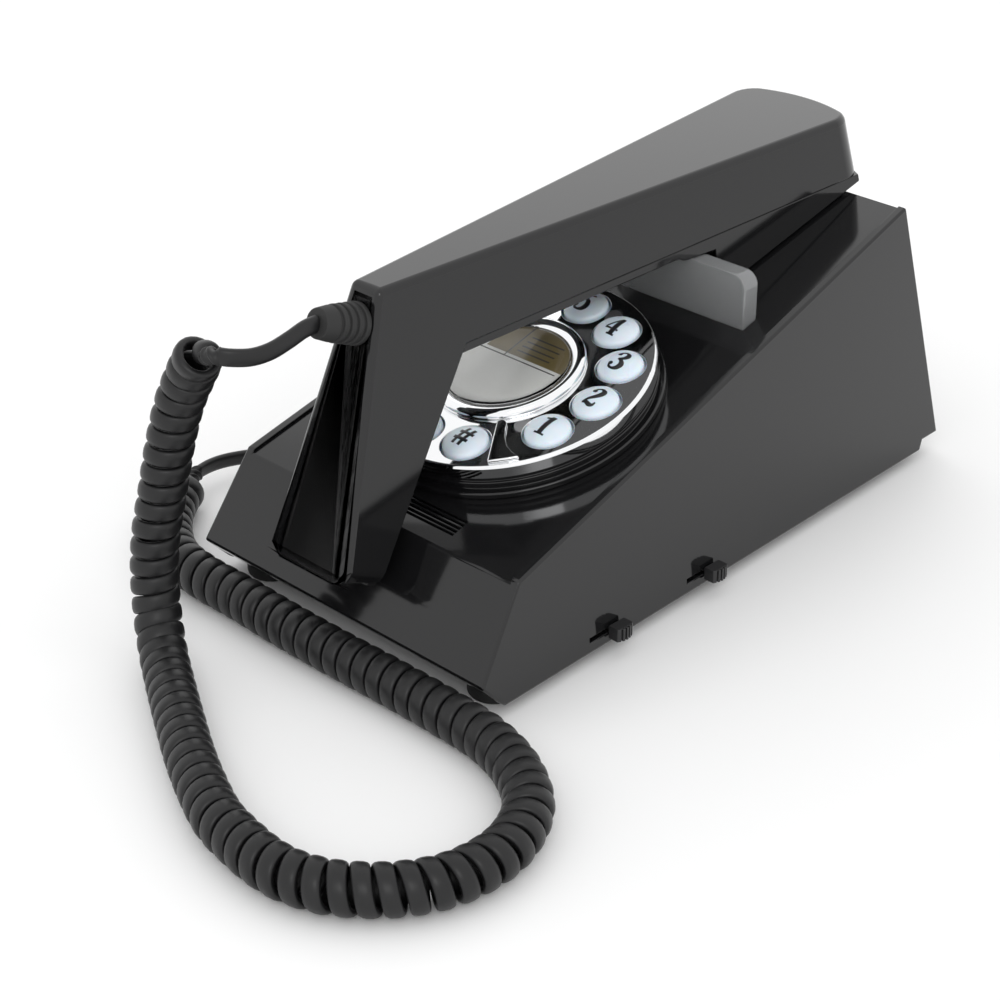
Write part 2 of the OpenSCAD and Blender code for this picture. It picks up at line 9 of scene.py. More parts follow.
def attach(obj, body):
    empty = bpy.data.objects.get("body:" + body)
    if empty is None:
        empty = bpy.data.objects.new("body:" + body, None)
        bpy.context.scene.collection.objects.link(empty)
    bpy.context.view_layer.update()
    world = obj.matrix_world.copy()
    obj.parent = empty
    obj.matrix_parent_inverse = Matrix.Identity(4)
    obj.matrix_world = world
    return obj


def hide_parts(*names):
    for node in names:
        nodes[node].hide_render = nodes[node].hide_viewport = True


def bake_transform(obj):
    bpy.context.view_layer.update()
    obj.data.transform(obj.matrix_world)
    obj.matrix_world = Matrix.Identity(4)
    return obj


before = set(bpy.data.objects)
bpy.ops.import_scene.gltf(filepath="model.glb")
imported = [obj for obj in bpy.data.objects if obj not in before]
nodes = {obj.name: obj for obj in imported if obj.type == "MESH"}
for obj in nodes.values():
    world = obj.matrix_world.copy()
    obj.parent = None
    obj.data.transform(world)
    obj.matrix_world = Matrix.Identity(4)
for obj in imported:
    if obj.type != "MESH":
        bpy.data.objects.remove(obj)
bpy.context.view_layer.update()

mm = 0.001


# ---------------------------------------------------------------------------------------------
# Camera. It looks down on the telephone from its front right corner, with a long lens.
camera_data = bpy.data.cameras.new("camera")
camera_data.lens = 82.84
camera_data.sensor_width = 36
camera = bpy.data.objects.new("camera", camera_data)
camera.location = (0.3906, -0.437, 0.3318)
camera.rotation_euler = (math.radians(90 - 29.06), 0, math.radians(44.25))
bpy.context.scene.collection.objects.link(camera)
bpy.context.scene.camera = camera


# ---------------------------------------------------------------------------------------------
# Curly cord. A flat cord with four cores in a satin black sheath, set in a tight coil by heat,
# with a straight stretch left at each end. It leaves the handset's boot, drops to the table,
# swings out in a loop before the telephone and goes back along its front to the left wall.
def new_piece(name, points, faces, uv=None):
    """A smooth mesh object at the origin from an array of points and a list of faces, and
    optionally the (u, v) of every point, which each face's corners repeat."""
    mesh = bpy.data.meshes.new(name)
    mesh.from_pydata(np.asarray(points).tolist(), [], faces)
    if uv is not None:
        corner = np.empty(len(mesh.loops), np.int32)
        mesh.loops.foreach_get("vertex_index", corner)
        layer = mesh.uv_layers.new(name="UVMap")
        layer.data.foreach_set("uv", np.asarray(uv, np.float32)[corner].ravel())
    mesh.polygons.foreach_set("use_smooth", np.ones(len(mesh.polygons), bool))
    mesh.update()
    piece = bpy.data.objects.new(name, mesh)
    bpy.context.scene.collection.objects.link(piece)
    return piece


def grid_faces(rows, columns, wrap=True):
    """Quads of a grid of rows by columns, numbered row by row. wrap closes each row into a ring."""
    across = columns if wrap else columns - 1
    i, j = np.meshgrid(np.arange(rows - 1), np.arange(across), indexing="ij")
    k = (j + 1) % columns
    quads = [i * columns + j, i * columns + k, (i + 1) * columns + k, (i + 1) * columns + j]
    return np.stack(quads, -1).reshape(-1, 4).tolist()


def smooth_route(points, step):
    """A Catmull-Rom curve through the points, resampled to equal steps along its length, and
    the distance along it of each sample. Between b and c, with a before and d after them:
    b + t/2 * (c - a + t * (2a - 5b + 4c - d + t * (3b - 3c + d - a)))."""
    fine_steps = 24
    p = np.asarray(points, float)
    p = np.vstack([2 * p[0] - p[1], p, 2 * p[-1] - p[-2]])
    t = np.linspace(0, 1, fine_steps, endpoint=False)[:, None]
    a, b, c, d = (p[i:len(p) - 3 + i, None, :] for i in range(4))
    curve = b + 0.5 * t * (c - a + t * (2 * a - 5 * b + 4 * c - d + t * (3 * b - 3 * c + d - a)))
    curve = np.vstack([curve.reshape(-1, 3), p[-2]])
    along = np.append(0, np.cumsum(np.linalg.norm(np.diff(curve, axis=0), axis=1)))
    count = int(round(along[-1] / step)) + 1
    at = np.linspace(0, along[-1], count)
    return np.stack([np.interp(at, along, curve[:, k]) for k in range(3)], 1), at


def unit(v):
    """Each row divided by its length."""
    return v / np.linalg.norm(v, axis=-1, keepdims=True)


def carried_sides(tangents, first):
    """Side vectors carried along a route: each is the last one with its part along the new
    tangent taken away, so the frame doesn't spin."""
    sides = np.empty_like(tangents)
    side = np.asarray(first, float)
    for i, t in enumerate(tangents):
        side = side - (side @ t) * t
        side /= np.linalg.norm(side)
        sides[i] = side
    return sides


def outward(piece):
    """Turns every face of a closed piece outwards."""
    work = bmesh.new()
    work.from_mesh(piece.data)
    bmesh.ops.remove_doubles(work, verts=work.verts, dist=1e-7)
    bmesh.ops.recalc_face_normals(work, faces=work.faces)
    work.to_mesh(piece.data)
    work.free()


def swept(name, centres, wide, thin, outline):
    """An outline carried along a path and closed at both ends:
    point = centre + outline.x * wide + outline.y * thin."""
    rings = centres[:, None] + outline[None, :, :1] * wide[:, None] + outline[None, :, 1:] * thin[:, None]
    rows, columns = rings.shape[:2]
    length = np.append(0, np.cumsum(np.linalg.norm(np.diff(centres, axis=0), axis=1)))
    u, v = np.meshgrid(length, np.arange(columns) / columns, indexing="ij")
    start = list(range(columns))[::-1]
    end = list(range((rows - 1) * columns, rows * columns))
    faces = grid_faces(rows, columns) + [start, end]
    piece = new_piece(name, rings.reshape(-1, 3), faces, np.stack([u, v], -1).reshape(-1, 2))
    outward(piece)
    return piece


def moulded_skin():
    """Shared effect of a moulded surface: a slow noise drifts the roughness and the tone, and
    a fine noise gives the height of the mould's grain."""
    group = bpy.data.node_groups.new("moulded_skin", "ShaderNodeTree")
    face = group.interface
    face.new_socket("Vector", in_out="INPUT", socket_type="NodeSocketVector")
    for socket in ("Drift Scale", "Grain Scale", "Roughness", "Spread"):
        face.new_socket(socket, in_out="INPUT", socket_type="NodeSocketFloat")
    for socket in ("Roughness", "Height", "Drift"):
        face.new_socket(socket, in_out="OUTPUT", socket_type="NodeSocketFloat")
    tree, link = group.nodes, group.links.new
    given, out = tree.new("NodeGroupInput"), tree.new("NodeGroupOutput")
    drift, grain = tree.new("ShaderNodeTexNoise"), tree.new("ShaderNodeTexNoise")
    drift.inputs["Detail"].default_value = 3
    grain.inputs["Detail"].default_value = 5
    link(given.outputs["Vector"], drift.inputs["Vector"])
    link(given.outputs["Vector"], grain.inputs["Vector"])
    link(given.outputs["Drift Scale"], drift.inputs["Scale"])
    link(given.outputs["Grain Scale"], grain.inputs["Scale"])
    centred = tree.new("ShaderNodeMath")
    centred.operation = "SUBTRACT"
    centred.inputs[1].default_value = 0.5
    link(drift.outputs["Fac"], centred.inputs[0])
    spread = tree.new("ShaderNodeMath")
    spread.operation = "MULTIPLY_ADD"
    link(centred.outputs[0], spread.inputs[0])
    link(given.outputs["Spread"], spread.inputs[1])
    link(given.outputs["Roughness"], spread.inputs[2])
    link(spread.outputs[0], out.inputs["Roughness"])
    link(grain.outputs["Fac"], out.inputs["Height"])
    link(drift.outputs["Fac"], out.inputs["Drift"])
    return group


skin = moulded_skin()


def finish_material(name, dark, light, roughness, spread, drift=40, grain=900, bump=0.02,
                    coordinates="Object", **plain):
    """A Principled material on moulded_skin: its colour drifts from dark to light, and plain
    holds the numbers that are the same all over, such as Metallic."""
    material = bpy.data.materials.new(name)
    material.use_nodes = True
    tree, link = material.node_tree.nodes, material.node_tree.links.new
    shader = tree["Principled BSDF"]
    place = tree.new("ShaderNodeTexCoord")
    effect = tree.new("ShaderNodeGroup")
    effect.node_tree = skin
    effect.inputs["Drift Scale"].default_value = drift
    effect.inputs["Grain Scale"].default_value = grain
    effect.inputs["Roughness"].default_value = roughness
    effect.inputs["Spread"].default_value = spread
    link(place.outputs[coordinates], effect.inputs["Vector"])
    tone = tree.new("ShaderNodeMix")
    tone.data_type = "RGBA"
    tone.inputs["A"].default_value = (*dark, 1)
    tone.inputs["B"].default_value = (*light, 1)
    link(effect.outputs["Drift"], tone.inputs["Factor"])
    link(tone.outputs["Result"], shader.inputs["Base Color"])
    link(effect.outputs["Roughness"], shader.inputs["Roughness"])
    height = tree.new("ShaderNodeBump")
    height.inputs["Strength"].default_value = bump
    height.inputs["Distance"].default_value = 0.0002
    link(effect.outputs["Height"], height.inputs["Height"])
    link(height.outputs["Normal"], shader.inputs["Normal"])
    for socket, value in plain.items():
        shader.inputs[socket.replace("_", " ")].default_value = value
    return material


def dress(piece, material):
    """One material all over the piece."""
    piece.data.materials.clear()
    piece.data.materials.append(material)


sheath = finish_material("cord_sheath", (0.005, 0.005, 0.0055), (0.01, 0.01, 0.0105), 0.4, 0.14,
                         drift=60, grain=1400, bump=0.1, Specular_IOR_Level=0.4)

cord_width = 4.7 * mm
cord_thick = 2.5 * mm
coil_outer_r = 6.4 * mm
coil_pitch = 5.3 * mm
opening_turns = 1.2
rings_per_turn = 24
outline_points = 14
squarish = 0.75
lead_points = [(0, -100.4, 95.8), (0, -104.5, 95.6), (0, -109.5, 94.4), (-0.4, -115, 93.2),
               (-1.8, -120, 92.8), (-4.3, -124.6, 93.4), (-7.9, -126.7, 93.5), (-11.75, -125.6, 91.6)]
coil_points = [(-17, -124, 89), (-22, -123.5, 82), (-26, -124.5, 73),
               (-28.5, -126.5, 61), (-30, -128.5, 49), (-31, -131, 37), (-31, -132.5, 26),
               (-28.5, -134.5, 15.5), (-22, -138.5, 8.5), (-12, -144.5, 6.6), (4, -154, 6.5),
               (18, -162, 6.5), (31, -168.5, 6.5), (42, -173, 6.5), (52, -175, 6.5), (62, -176, 6.5),
               (71, -175, 6.5), (81, -170.5, 6.5), (91, -161, 6.5), (97, -149, 6.5), (97.5, -134, 6.5),
               (91, -120, 6.5), (79, -111, 6.5), (65, -106.5, 6.5), (49, -105.5, 6.5), (28, -105.5, 6.5),
               (7, -106, 6.5), (-13, -106, 6.5), (-31, -105.5, 6.5), (-46, -105.5, 6.5), (-59, -103.5, 6.5),
               (-71, -97, 6.5), (-82, -87, 6.5)]
base_points = [(-91.2, -73.7, 6.5), (-93.6, -69.8, 6.4), (-95, -64, 6.3), (-94.6, -58, 6.2),
               (-92, -51, 6), (-88, -43, 5.4), (-84, -34, 4.4), (-81, -25, 3.2), (-79, -15, 2.3),
               (-77.6, -5, 2.5), (-75, 4, 4.2), (-71, 9.5, 7.6), (-66.4, 11.7, 10.8), (-62.6, 12, 12.1),
               (-59.1, 12, 12.2)]


def coil_path(route, coil_start, coil_end):
    """The cord's own centreline and its outward directions: a helix wound on the route, with one
    turn to every pitch along it, whose radius opens from nothing at each end of the coil.
    point = route + radius * (cos(turn) * side + sin(turn) * other)."""
    centres, at = smooth_route(route, coil_pitch / rings_per_turn)
    tangents = unit(np.gradient(centres, axis=0))
    side = carried_sides(tangents, (0, 0, 1))
    other = np.cross(tangents, side)
    opening = opening_turns * coil_pitch
    ramp = np.clip(np.minimum(at - coil_start, coil_end - at) / opening, 0, 1)
    ramp = ramp * ramp * (3 - 2 * ramp)
    radius = (coil_outer_r - cord_thick / 2) * ramp
    winds = (at > coil_start - opening) & (at < coil_end + opening)
    rate = np.where(winds, 2 * math.pi / coil_pitch, 0)
    turn = np.append(0, np.cumsum(0.5 * (rate[1:] + rate[:-1]) * np.diff(at))) + math.pi / 2
    out = np.cos(turn)[:, None] * side + np.sin(turn)[:, None] * other
    return centres + radius[:, None] * out, out


def route_length(points):
    """Length of the smooth curve through the points."""
    return smooth_route(points, 0.5 * mm)[1][-1]


route = [[mm * x for x in p] for p in lead_points + coil_points + base_points]
coil_start = route_length(route[:len(lead_points)])
coil_end = route_length(route[:len(lead_points) + len(coil_points) + 1])
cord_path, cord_out = coil_path(route, coil_start, coil_end)
cord_tangents = unit(np.gradient(cord_path, axis=0))
cord_thin = unit(cord_out - np.sum(cord_out * cord_tangents, 1, keepdims=True) * cord_tangents)
cord_wide = np.cross(cord_tangents, cord_thin)
# The section is a superellipse, rounded but flat: a circle whose cosine and sine are each
# raised to the power squarish.
around = np.linspace(0, 2 * math.pi, outline_points, endpoint=False)
circle = np.stack([np.cos(around), np.sin(around)], 1)
cord_outline = np.sign(circle) * np.abs(circle) ** squarish * (cord_width / 2, cord_thick / 2)
cord = swept("curly_cord", cord_path, cord_wide, cord_thin, cord_outline)
dress(cord, sheath)
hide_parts("handset_lead", "coil_cord", "base_lead")
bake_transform(cord)


# ---------------------------------------------------------------------------------------------
# Floor and light. A white floor in a white room, a soft box behind on the left that lights the
# arm's top, and a small one before the front right corner that lights the walls.
floor_material = finish_material("floor_paper", (0.9, 0.9, 0.9), (0.93, 0.93, 0.93), 0.6, 0.02, drift=2,
                                 grain=500, bump=0.01)
floor_size = 6.0
floor = new_piece("floor", [(-floor_size, -floor_size, 0), (floor_size, -floor_size, 0),
                            (floor_size, floor_size, 0), (-floor_size, floor_size, 0)], [(0, 1, 2, 3)])
floor.data.materials.append(floor_material)

world = bpy.data.worlds.new("room")
world.use_nodes = True
world.node_tree.nodes["Background"].inputs["Color"].default_value = (1, 1, 1, 1)
world.node_tree.nodes["Background"].inputs["Strength"].default_value = 1.07
bpy.context.scene.world = world
bpy.context.scene.view_settings.view_transform = "Standard"


def soft_box(name, at, aim, size, power):
    """An area light of a given size that faces the aim point."""
    data = bpy.data.lights.new(name, "AREA")
    data.shape = "RECTANGLE"
    data.size, data.size_y = size
    data.energy = power
    lamp = bpy.data.objects.new(name, data)
    lamp.location = at
    lamp.rotation_euler = (Vector(aim) - Vector(at)).to_track_quat("-Z", "Y").to_euler()
    bpy.context.scene.collection.objects.link(lamp)


body_middle = (0, 0, 0.05)
soft_box("back_box", (-0.92, 0.9, 0.85), body_middle, size=(1.2, 0.8), power=1.2)
soft_box("front_box", (0.9, -1.0, 1.1), body_middle, size=(0.7, 0.7), power=4)


# ---------------------------------------------------------------------------------------------
# Body shell. One wedge-shaped moulding of polished black plastic, with a raised rim along each
# side of the deck, a round hole for the dial, a slot for the cradle bar and fine sound slots.
gloss_black = finish_material("polished_black", (0.0055, 0.0055, 0.006), (0.0085, 0.0085, 0.009), 0.09, 0.05,
                              drift=14, grain=160, bump=0.012, Specular_IOR_Level=0.5)
fine_edge = 0.2 * mm
fine_share = 0.4
probe_lift = 0.05 * mm


def bevel_weights(work, edge, share, angle):
    """Weights for a bevel: an edge gets its wanted width, and at most a share of how far the
    faces beside it reach. Only outward corners sharper than the angle in degrees count, and
    those of slots and cavities, where a face looks at another face of the piece, get the fine
    width. Returns the width that a weight of 1 stands for."""
    weights = work.edges.layers.float.new("bevel_weight_edge")
    tree = BVHTree.FromBMesh(work)
    widest = max(edge(Vector(v.co), []) for v in work.verts)
    for line in work.edges:
        if len(line.link_faces) != 2 or not line.is_convex:
            continue
        if line.calc_face_angle() < math.radians(angle):
            continue
        start, along = line.verts[0].co, (line.verts[1].co - line.verts[0].co).normalized()
        middle = (line.verts[0].co + line.verts[1].co) / 2
        reach, open_sides = 1.0, 0
        for face in line.link_faces:
            spans = [(v.co - start) - (v.co - start).dot(along) * along for v in face.verts]
            far = max(spans, key=lambda span: span.length)
            reach = min(reach, far.length)
            probe = middle + 0.3 * far + probe_lift * face.normal
            open_sides += tree.ray_cast(probe, face.normal)[0] is None
        wanted = edge(middle, [face.normal for face in line.link_faces])
        if open_sides == 2:
            width = min(wanted, share * reach)
        else:
            width = min(wanted, fine_edge, fine_share * reach)
        line[weights] = width / widest
    return widest


def moulding(node, name, edge, body, angle=25, segments=3, share=0.45, shaped=None):
    """A merged copy of a CAD node's mesh with its flat faces joined up and its edges rounded.
    edge is a width, or a function of an edge's middle and of its two faces' normals that gives
    one. share and angle are those of bevel_weights. shaped is called on the joined mesh before
    its edges are rounded."""
    piece = bpy.data.objects.new(name, nodes[node].data.copy())
    bpy.context.scene.collection.objects.link(piece)
    work = bmesh.new()
    work.from_mesh(piece.data)
    bmesh.ops.remove_doubles(work, verts=work.verts, dist=2e-6)
    bmesh.ops.dissolve_limit(work, angle_limit=math.radians(0.6), verts=work.verts, edges=work.edges)
    if shaped:
        shaped(work)
    edge_width = edge if callable(edge) else lambda middle, normals: edge
    widest = bevel_weights(work, edge_width, share, angle)
    work.to_mesh(piece.data)
    work.free()
    while piece.data.uv_layers:
        piece.data.uv_layers.remove(piece.data.uv_layers[0])
    piece.data.polygons.foreach_set("use_smooth", np.ones(len(piece.data.polygons), bool))
    piece.data.set_sharp_from_angle(angle=math.radians(angle))
    bevel = piece.modifiers.new("rounded_edges", "BEVEL")
    bevel.width = widest
    bevel.segments = segments
    bevel.limit_method = "WEIGHT"
    bevel.use_clamp_overlap = False
    shading = piece.modifiers.new("flat_faces", "WEIGHTED_NORMAL")
    shading.keep_sharp = True
    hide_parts(node)
    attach(piece, body)
    return piece


shell = moulding("base_shell", "body_shell", 0.7 * mm, "base")
dress(shell, gloss_black)


# ---------------------------------------------------------------------------------------------
# Base plate and feet. A fine-textured black tray closes the shell from below on four screws,
# and stands on four rubber discs.
matt_black = finish_material("textured_black", (0.011, 0.011, 0.012), (0.018, 0.018, 0.019), 0.42, 0.12,
                             drift=50, grain=1800, bump=0.12)
rubber_black = finish_material("foot_rubber", (0.01, 0.01, 0.01), (0.02, 0.02, 0.02), 0.68, 0.15,
                               drift=90, grain=2200, bump=0.2)
plate = moulding("base_plate", "bottom_tray", 0.3 * mm, "base", segments=2)
dress(plate, matt_black)


def fillet(profile, radius, steps=4):
    """A profile with each inner corner b replaced by a quadratic curve, which starts radius
    before it and ends radius after it, or less where a side is short:
    (1 - t)^2 * start + 2t(1 - t) * b + t^2 * end."""
    p = np.asarray(profile, float)
    out = [p[:1]]
    for a, b, c in zip(p[:-2], p[1:-1], p[2:]):
        back, on = a - b, c - b
        reach = min(radius, 0.48 * np.linalg.norm(back), 0.48 * np.linalg.norm(on))
        start, end = b + unit(back) * reach, b + unit(on) * reach
        t = np.linspace(0, 1, steps + 1)[:, None]
        out.append((1 - t) ** 2 * start + 2 * t * (1 - t) * b + t ** 2 * end)
    out.append(p[-1:])
    return np.vstack(out)


def turned(name, profile, place, segments=128):
    """A profile of (radius, height) turned about Z, then put in its place by a matrix:
    point = (radius * cos(angle), radius * sin(angle), height). A point on the axis closes an
    end."""
    p = np.asarray(profile, float)
    angle = np.linspace(0, 2 * math.pi, segments, endpoint=False)
    x = p[:, :1] * np.cos(angle)
    y = p[:, :1] * np.sin(angle)
    z = np.repeat(p[:, 1:], segments, 1)
    points = np.stack([x, y, z], -1).reshape(-1, 3)
    piece = new_piece(name, points, grid_faces(len(p), segments))
    piece.data.transform(place)
    outward(piece)
    return piece


foot_places = [(-43.5, -83), (43.5, -83), (-38.5, 79), (38.5, 79)]


def foot(i, x, y):
    """A shallow disc with a rounded tread edge and a dished middle."""
    profile = fillet([(0, 0.5), (3.2, 0.5), (3.8, 0), (6.5, 0), (7, 0.8), (7, 3.97), (0, 3.97)], 0.5)
    piece = turned(f"foot_{i}", profile * mm, Matrix.Translation((x * mm, y * mm, 0)), 64)
    dress(piece, rubber_black)
    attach(piece, "base")
    return piece


feet = [foot(i, x, y) for i, (x, y) in enumerate(foot_places)]
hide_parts("rubber_feet")


# ---------------------------------------------------------------------------------------------
# Inside the body. Screws, weight, boards, ringer and switches as the CAD has them, each in its
# own finish.
zinc = finish_material("zinc_plate", (0.5, 0.5, 0.52), (0.62, 0.61, 0.6), 0.32, 0.2, drift=150,
                       grain=1200, bump=0.05, Metallic=1.0)
cast_grey = finish_material("cast_weight", (0.1, 0.1, 0.105), (0.18, 0.175, 0.17), 0.7, 0.2, drift=120,
                            grain=600, bump=0.35, Metallic=0.6)
board_green = finish_material("circuit_board", (0.012, 0.075, 0.03), (0.02, 0.12, 0.05), 0.35, 0.15,
                              drift=260, grain=1500, bump=0.08, Coat_Weight=0.5)
silicone = finish_material("pale_silicone", (0.5, 0.5, 0.47), (0.62, 0.62, 0.58), 0.6, 0.1, drift=80,
                           grain=1500, bump=0.06)
inner_finishes = [
    (zinc, "steel", ["base_screws", "keypad_screws", "cradle_screws", "board_screws", "handset_screws",
                     "cradle_spring", "volume_switch", "mode_switch", "microphone"]),
    (cast_grey, "weight", ["base_weight", "handset_weight"]),
    (board_green, "board", ["main_board", "keypad_board", "handset_board"]),
    (silicone, "membrane", ["keypad_membrane"]),
    (matt_black, "black_matt", ["button_guide", "cradle_guide", "hook_switch", "ringer", "line_socket",
                                "earpiece"]),
]
for material, slot, names in inner_finishes:
    for node in names:
        dress(nodes[node], material)


# ---------------------------------------------------------------------------------------------
# Dial housing. A turned cup of polished black plastic that drops into the deck, with a seat
# ring on the deck, a narrow neck and one thin step under the chrome face.
slope = math.radians(16)
dial_place = Matrix.Translation((0, -29.9 * mm, 50.28 * mm)) @ Matrix.Rotation(slope, 4, "X")
housing_profile = [(0, -7), (36.2, -7), (36.2, 0.12), (41.8, 0.12), (41.8, 1.6), (41.4, 1.9), (39.7, 1.9),
                   (39.7, 3.4), (40.3, 3.4), (40.5, 3.6), (40.5, 4.4), (40.3, 4.6), (39.8, 4.6),
                   (39.8, 6.04), (38.5, 6.04), (38.5, 2.3), (34.8, 2.3), (34.8, -5.4), (0, -5.4)]
housing = turned("dial_cup", fillet(housing_profile, 0.25, 3) * mm, dial_place, 192)
dress(housing, gloss_black)
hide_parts("dial_housing")
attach(housing, "base")


# ---------------------------------------------------------------------------------------------
# Chrome face. A pressed ring plated bright, with twelve round holes for the buttons and a
# raised stop between the last hole and the first.
chrome = finish_material("bright_chrome", (0.86, 0.87, 0.885), (0.9, 0.905, 0.91), 0.045, 0.03, drift=30,
                         grain=260, bump=0.006, Metallic=1.0)
face_ring = moulding("dial_bezel", "chrome_face", 0.35 * mm, "base", angle=30)
dress(face_ring, chrome)
stop = moulding("finger_stop", "raised_stop", 0.35 * mm, "base", angle=30)
dress(stop, chrome)
ring_profile = [(17.6, 10.23), (21.8, 10.23), (21.8, 11.1), (21.35, 12.0), (20.4, 12.6), (19.4, 12.6),
                (18.4, 12.0), (17.6, 11.3), (17.6, 10.23)]
centre_ring = turned("chrome_ring", fillet(ring_profile, 0.4, 4) * mm, dial_place, 192)
dress(centre_ring, chrome)
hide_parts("centre_ring")
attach(centre_ring, "base")


# ---------------------------------------------------------------------------------------------
# Card and its window. A printed card, cream with a gold patch and ruled lines, under a low
# clear acrylic dome that the chrome ring holds down.
card_r = 17.4 * mm
card_height = 10.63 * mm


def card_disc(name, radius, height, rings=24, segments=128):
    """A flat disc as a polar grid, point = (r * cos(a), r * sin(a), height), with (u, v) equal
    to its own x and y in card radii."""
    steps_out = np.linspace(0, radius, rings)
    steps_round = np.linspace(0, 2 * math.pi, segments, endpoint=False)
    r, a = np.meshgrid(steps_out, steps_round, indexing="ij")
    points = np.stack([r * np.cos(a), r * np.sin(a), np.full_like(r, height)], -1).reshape(-1, 3)
    uv = points[:, :2] / radius
    piece = new_piece(name, points, grid_faces(rings, segments), uv)
    piece.data.transform(dial_place)
    outward(piece)
    return piece


def print_material():
    """The card's print by distance: a gold patch above a line and short of the left edge, thin
    rules at set heights, and one upright rule, each from comparing u or v with a number."""
    material = bpy.data.materials.new("card_print")
    material.use_nodes = True
    tree, link = material.node_tree.nodes, material.node_tree.links.new
    shader = tree["Principled BSDF"]
    place = tree.new("ShaderNodeTexCoord")
    split = tree.new("ShaderNodeSeparateXYZ")
    link(place.outputs["UV"], split.inputs[0])

    def math_node(kind, a, b=None, c=None):
        node = tree.new("ShaderNodeMath")
        node.operation = kind
        for i, value in enumerate((a, b, c)):
            if value is None:
                continue
            if isinstance(value, (int, float)):
                node.inputs[i].default_value = value
            else:
                link(value, node.inputs[i])
        return node.outputs[0]

    u, v = split.outputs["X"], split.outputs["Y"]
    rule_half = 0.012
    above = math_node("GREATER_THAN", v, 0.27)
    right = math_node("GREATER_THAN", u, -0.72)
    gold = math_node("MULTIPLY", above, right)
    base_rule = math_node("MULTIPLY", math_node("COMPARE", v, 0.2, rule_half),
                          math_node("COMPARE", u, 0.0, 0.8))
    upright = math_node("MULTIPLY", math_node("COMPARE", u, -0.28, rule_half),
                        math_node("GREATER_THAN", v, 0.2))
    ink = math_node("MAXIMUM", base_rule, upright)
    for height in (0.4, 0.52, 0.64, 0.76):
        row = math_node("MULTIPLY", math_node("COMPARE", v, height, 0.016),
                        math_node("COMPARE", u, 0.17, 0.34))
        ink = math_node("MAXIMUM", ink, row)
    grain = tree.new("ShaderNodeTexNoise")
    grain.inputs["Scale"].default_value = 900
    link(place.outputs["Object"], grain.inputs["Vector"])
    paper = tree.new("ShaderNodeMix")
    paper.data_type = "RGBA"
    paper.inputs["A"].default_value = (0.86, 0.84, 0.79, 1)
    paper.inputs["B"].default_value = (0.93, 0.91, 0.87, 1)
    link(grain.outputs["Fac"], paper.inputs["Factor"])
    gilded = tree.new("ShaderNodeMix")
    gilded.data_type = "RGBA"
    gilded.inputs["B"].default_value = (0.2, 0.145, 0.05, 1)
    link(gold, gilded.inputs["Factor"])
    link(paper.outputs["Result"], gilded.inputs["A"])
    inked = tree.new("ShaderNodeMix")
    inked.data_type = "RGBA"
    inked.inputs["B"].default_value = (0.03, 0.028, 0.025, 1)
    link(ink, inked.inputs["Factor"])
    link(gilded.outputs["Result"], inked.inputs["A"])
    link(inked.outputs["Result"], shader.inputs["Base Color"])
    rough = math_node("MULTIPLY_ADD", gold, -0.2, 0.55)
    link(rough, shader.inputs["Roughness"])
    shader.inputs["Coat Weight"].default_value = 0.4
    shader.inputs["Coat Roughness"].default_value = 0.12
    return material


card = card_disc("printed_card", card_r, card_height)
dress(card, print_material())
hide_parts("centre_card")
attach(card, "base")

clear = finish_material("clear_acrylic", (0.95, 0.97, 0.98), (0.97, 0.98, 0.99), 0.02, 0.02, drift=30,
                        grain=300, bump=0.004, Transmission_Weight=1.0, IOR=1.15)
lens_r = 17.35
lens_top = 11.35
lens_drop = 0.3
lens_dome = [(lens_r * k, lens_top - lens_drop * k * k) for k in (0.96, 0.85, 0.7, 0.55, 0.4, 0.25, 0.1)]
lens_foot = [(0, 10.75), (6, 10.75), (12, 10.75), (17.2, 10.75), (lens_r, 11.0)]
lens = turned("card_window", np.array(lens_foot + lens_dome + [(0, lens_top)]) * mm, dial_place)
dress(lens, clear)
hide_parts("centre_lens")
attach(lens, "base")


# ---------------------------------------------------------------------------------------------
# Buttons. Twelve domed caps of milky pale blue plastic stand in the chrome face, each with a
# black printed numeral that stays upright round the dial.
button_names = ["1", "2", "3", "4", "5", "6", "7", "8", "9", "star", "0", "hash"]
button_ring_r = 31.2
button_start = -27.6
button_pitch = 29
stem_r = 3
flange_r = 7.15
flange_foot = 7.2
flange_top = 8.4
cap_r = 6.35
rim_width = 0.9
dome_r = 11.7
dome_top = 12.9
milky = finish_material("milky_plastic", (0.66, 0.75, 0.83), (0.73, 0.81, 0.88), 0.28, 0.06, drift=60,
                        grain=400, bump=0.01, Subsurface_Weight=0.35, Subsurface_Scale=0.003)
ink_black = finish_material("numeral_ink", (0.006, 0.006, 0.008), (0.012, 0.012, 0.014), 0.35, 0.1, drift=200,
                            grain=900, bump=0.02)


def dome_height(r):
    """Height of the cap's dome at a distance r from its axis, a sphere's top:
    dome_top - dome_r + sqrt(dome_r^2 - r^2)."""
    return dome_top - dome_r + np.sqrt(dome_r ** 2 - r ** 2)


def button_place(i):
    """Where button i stands: a matrix that shifts it out to its place on the dial's ring."""
    angle = math.radians(button_start + i * button_pitch)
    x, y = button_ring_r * math.cos(angle), button_ring_r * math.sin(angle)
    return dial_place @ Matrix.Translation((x * mm, y * mm, 0))


